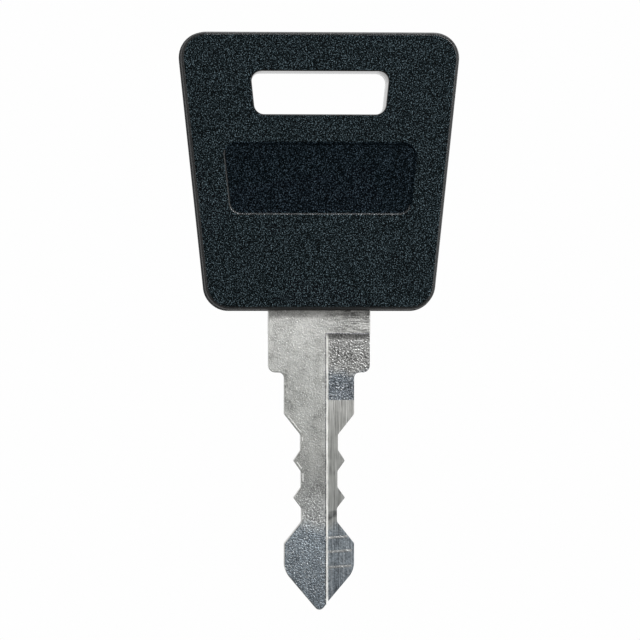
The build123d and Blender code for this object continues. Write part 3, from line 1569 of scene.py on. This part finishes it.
@dataclass
class Studio:
    """Plain pale floor, soft light and the camera."""

    tip_z: float
    view_width: float = 64.0
    aim: tuple[float, float, float] = (0.12, 0.0, 5.25)
    distance: float = 400.0
    azimuth_deg: float = -3.4
    elevation_deg: float = 0.0
    sensor: float = 36.0
    clip_start_m: float = 0.01
    floor_radius_m: float = 4.0
    # Brightness of the sky in front of the key and behind it, and the y of the directions
    # between which it rises from one to the other.
    front_level: float = 0.3
    rear_level: float = 1.0
    grade_y: tuple[float, float] = (-0.2, 0.5)
    lamps: tuple[SoftLight, ...] = (
        SoftLight("key_light", (150, -330, 215), 110, 1.1),
        SoftLight("right_softbox", (400, -270, 20), 480, 0.8),
        SoftLight("left_fill", (-320, -330, 80), 260, 0.2),
        SoftLight("top_softbox", (60, 40, 420), 260, 0.5),
    )

    def floor(self) -> bpy.types.Object:
        """Lay a round white floor, lit through from below, under the tip.

        Returns:
            The floor.
        """
        facets = 128
        bpy.ops.object.select_all(action="DESELECT")
        bpy.ops.mesh.primitive_circle_add(
            vertices=facets,
            radius=self.floor_radius_m,
            fill_type="NGON",
            location=(0, 0, self.tip_z * MM),
        )
        floor = bpy.context.object
        floor.name = "studio_floor"
        # Opal acrylic lit through from below looks white all over and takes no shadow.
        material, tree = new_material("white_lit_acrylic")
        glow = add_node(tree, "ShaderNodeEmission", {"Color": srgb(PAPER_WHITE), "Strength": 1.0})
        add_node(tree, "ShaderNodeOutputMaterial", {"Surface": glow.outputs["Emission"]})
        floor.data.materials.append(material)
        floor.visible_diffuse = False
        floor.visible_glossy = False
        floor.visible_shadow = False
        return floor

    def sky(self) -> None:
        """Hang a sky that is white to look at, but lights the key white from behind, dim in front."""
        world = bpy.data.worlds.new("studio_white")
        bpy.context.scene.world = world
        world.use_nodes = True
        tree = world.node_tree
        tree.nodes.clear()
        direction = add_node(tree, "ShaderNodeTexCoord").outputs["Generated"]
        parts = add_node(tree, "ShaderNodeSeparateXYZ", {0: direction})
        grade = add_node(
            tree,
            "ShaderNodeMapRange",
            {
                "Value": parts.outputs["Y"],
                **across(self.grade_y),
                "To Min": self.front_level,
                "To Max": self.rear_level,
            },
            interpolation_type="SMOOTHSTEP",
        )
        is_seen = add_node(tree, "ShaderNodeLightPath").outputs["Is Camera Ray"]
        lit = add_node(tree, "ShaderNodeBackground", {"Color": grade.outputs["Result"], "Strength": 1.0})
        seen = add_node(tree, "ShaderNodeBackground", {"Color": srgb(PAPER_WHITE), "Strength": 1.0})
        mix = add_node(
            tree,
            "ShaderNodeMixShader",
            {0: is_seen, 1: lit.outputs["Background"], 2: seen.outputs["Background"]},
        )
        add_node(tree, "ShaderNodeOutputWorld", {"Surface": mix.outputs["Shader"]})

    def camera(self) -> bpy.types.Object:
        """Aim the camera at the key, nearly square to its front face.

        Returns:
            The camera.
        """
        azimuth, elevation = radians(self.azimuth_deg), radians(self.elevation_deg)
        back = Vector((sin(azimuth) * cos(elevation), -cos(azimuth) * cos(elevation), sin(elevation)))
        data = bpy.data.cameras.new("camera")
        data.sensor_width = self.sensor
        data.lens = self.sensor * self.distance / self.view_width
        data.clip_start = self.clip_start_m
        camera = bpy.data.objects.new("camera", data)
        bpy.context.scene.collection.objects.link(camera)
        camera.location = (Vector(self.aim) + back * self.distance) * MM
        camera.rotation_euler = (-back).to_track_quat("-Z", "Y").to_euler()
        bpy.context.scene.camera = camera
        return camera

    def build(self) -> None:
        """Set up everything round the key."""
        self.floor()
        self.sky()
        for lamp in self.lamps:
            lamp.make(Vector(self.aim) * MM)
        self.camera()
        bpy.context.scene.view_settings.view_transform = "Standard"


# ---------------------------------------------------------------- key


def head_finishes() -> Finishes:
    """Make the finish of each surface of the head.

    Returns:
        One material for each surface, in the order of their numbers.
    """
    finishes = {
        # Coarse grain from the eroded mould: painted blue-grey glints on a nearly black ground, painted
        # darker in the valleys as shade.
        HeadSurface.FACE: MouldedABS("abs_black_spark_eroded"),
        # The same grain dragged by the draw of the mould: dull, darker and almost without painted
        # glints.
        HeadSurface.SIDE_WALL: MouldedABS(
            "abs_black_eroded_side",
            pebble_colour="#0d1214",
            painted_glint_colour="#20272a",
            roughness=0.7,
            pebble_roughness=0.6,
            specular=0.03,
        ),
        # Polished core of the mould: smooth black that mirrors the white round it at a low angle.
        HeadSurface.SLOT_WALL: MouldedABS(
            "abs_black_polished_slot",
            pebble_colour="#0a0d0f",
            painted_glint_colour="#101416",
            pebble_height_mm=0.0,
            roughness=0.14,
            pebble_roughness=0.14,
            specular=0.8,
        ),
        # Lower grain under less wear: a darker, bluer black than the face round it. The recess edges
        # that face down or left take it too, as painted shade.
        HeadSurface.RECESS_FLOOR_AND_PAINTED_SHADE: MouldedABS(
            "abs_black_fine_recess_and_painted_shade",
            shaded_valley_colour="#010304",
            pebble_colour="#0a141b",
            painted_glint_colour="#46545e",
            pebble_height_mm=0.016,
            specular=0.015,
        ),
        # Grain worn down by thumbs and pockets: a soft grey sheen along the rounding, partly its gloss
        # and partly painted glints.
        HeadSurface.RIM: MouldedABS(
            "abs_black_thumb_worn_rim",
            pebble_colour="#0b1012",
            painted_glint_colour="#34393a",
            pebble_height_mm=0.01,
            roughness=0.32,
            pebble_roughness=0.26,
            specular=0.5,
        ),
        # Sharp edge of the polished insert where it faces up: a thin, bright, broken line, a painted
        # highlight in a lighter copy of the grain that is glossy enough to catch the lamps too.
        HeadSurface.RECESS_LIP_PAINTED_HIGHLIGHT: MouldedABS(
            "abs_black_polished_lip_painted_highlight",
            pebble_colour="#0e1214",
            painted_glint_colour="#8a959b",
            pebble_height_mm=0.01,
            roughness=0.26,
            pebble_roughness=0.2,
            specular=1.0,
        ),
    }
    return {surface: finish.material() for surface, finish in finishes.items()}


def blade_finishes() -> Finishes:
    """Make the finish of each zone of the blade.

    Returns:
        One material for each zone, in the order of their numbers.
    """
    tip_z, head_z = -23.7, 6.2
    # Light high on the blade, greyer down the necks, and darker and bluish towards the tip, partly
    # wear and partly a painted reflection of a darker, bluer surround; darker again just under the head
    # as painted shadow.
    face_tones = (
        Tone(tip_z, "#8b959d"),
        Tone(-15.8, "#a0aab2"),
        Tone(-14.6, "#d2d4d3"),
        Tone(-10.4, "#b4b5b2"),
        Tone(-7.4, "#cbccc8"),
        Tone(0.0, "#dddeda"),
        # Painted shadow of the head on the blade just under it.
        Tone(5.3, "#ebebe7"),
        Tone(6.3, "#d6d6d2"),
    )
    # Fine lines above the rabbet, and a dull patch at the left of the guide part.
    streaked_patches = (
        StreakedPatch(x_none=-0.5, x_full=2.5, z_none=(2.4, 9.0), z_full=(3.8, 8.0)),
        StreakedPatch(
            x_none=-1.9,
            x_full=-3.4,
            z_none=(-4.4, 0.4),
            z_full=(-3.2, -0.6),
            streak_mm=(0.3, 0.3, 0.5),
            depth=0.45,
        ),
    )
    finishes = {
        # Rolled strip under thin plate: fine satin grain with painted bright sparks.
        Zone.STAMPED_FACE: NickelPlate("nickel_satin_stamped", face_tones, streaked_patches=streaked_patches),
        # Milled lengthwise: fine bright and dark lines along the blade, one dark band above the tip, and
        # the same darker, bluish tone towards the tip, partly wear and partly painted reflection.
        Zone.MILLED_FLOOR: NickelPlate(
            "nickel_milled_lengthwise",
            (
                Tone(tip_z, "#98a1a9"),
                Tone(-16.0, "#b0bac2"),
                Tone(-14.6, "#c6c8c5"),
                Tone(-14.3, "#6c6e6e"),
                Tone(-14.0, "#c6c8c5"),
                Tone(-6.0, "#d4d5d1"),
                Tone(-3.0, "#ecece8"),
            ),
            grain_mm=(0.12, 0.5, 4.0),
            grain_shade=0.55,
            spark=0.3,
            cloud_shade=0.14,
            pitted_z=(-14.5, -15.5),
            pit_low=0.65,
            pit_painted_glint=1.35,
            pit_height_mm=0.01,
        ),
        # Struck by a worn punch: coarse, crushed metal with painted glitter, bluish in its lower part.
        Zone.COINED_PATCH: NickelPlate(
            "nickel_coined_rough",
            (Tone(-2.7, "#848b92"), Tone(-0.4, "#848b92"), Tone(0.6, "#a9a9a7"), Tone(3.9, "#a9a9a7")),
            grain_mm=(0.18, 0.18, 0.18),
            grain_height_mm=0.03,
            grain_shade=0.65,
        ),
        # Sheared by the stamping tool: smooth and bright, with soft clouds.
        Zone.CUT_EDGE: NickelPlate(
            "nickel_bright_cut_edge",
            (Tone(tip_z, "#d2d2cf"), Tone(head_z, "#d2d2cf")),
            grain_shade=0.2,
            spark=0.3,
            pit_low=0.85,
            pit_painted_glint=1.0,
            pit_height_mm=0.01,
            roughness=0.24,
        ),
        # Side cut of the mill: fresh metal that turns to the lamps; its nearly white colour is a painted
        # highlight.
        Zone.RABBET_WALL: NickelPlate(
            "nickel_rabbet_wall_painted_highlight",
            (Tone(tip_z, "#f8f8f5"), Tone(head_z, "#f8f8f5")),
            roughness=0.9,
            grain_shade=0.05,
            pit_low=0.95,
            pit_painted_glint=1.0,
        ),
        # Painted shade of the lip that the cut bent over: a thin dull grey strip beside and above each
        # rabbet.
        Zone.PAINTED_SHADE_STRIP: NickelPlate(
            "nickel_painted_shade_strip",
            (Tone(tip_z, "#62676b"), Tone(head_z, "#74747a")),
            pit_painted_glint=1.2,
            roughness=0.5,
        ),
        # Torn by the cutter as it slowed: a broken line across the floor, painted light as a highlight.
        Zone.RIDGE: NickelPlate(
            "nickel_torn_ridge_painted_highlight",
            (Tone(tip_z, "#e4e6e6"), Tone(head_z, "#e4e6e6")),
            grain_mm=(0.3, 0.3, 0.2),
            grain_shade=0.55,
            pit_low=0.7,
            pit_painted_glint=1.1,
        ),
        # Metal rolled over from the edge: a thin line, painted nearly white as a highlight.
        Zone.EDGE_BURR: NickelPlate(
            "nickel_rolled_burr_painted_highlight",
            (Tone(tip_z, "#f8f8f6"), Tone(head_z, "#f8f8f6")),
            grain_shade=0.2,
            pit_low=0.95,
            pit_painted_glint=1.0,
            roughness=0.4,
        ),
    }
    return {zone: finish.material() for zone, finish in finishes.items()}


def main() -> None:
    """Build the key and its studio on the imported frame."""
    logging.basicConfig(level=logging.INFO, format="%(name)s: %(message)s")
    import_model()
    front_low, front_high = (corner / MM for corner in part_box("head_front_shell"))
    blade_low, blade_high = (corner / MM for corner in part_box("key_blade"))
    mould_finishes = head_finishes()
    for side in Side:
        shell = HeadShell(
            side, base_z=front_low.z, top_z=front_high.z, half_thickness=-front_low.y
        ).build(mould_finishes)
        LOG.info("%s has %d faces", shell.name, len(shell.data.polygons))
    blade = KeyBlade(tip_z=blade_low.z, half_thickness=blade_high.y).build(blade_finishes())
    LOG.info("%s has %d faces", blade.name, len(blade.data.polygons))
    Studio(tip_z=blade_low.z).build()


if __name__ == "__main__":
    main()
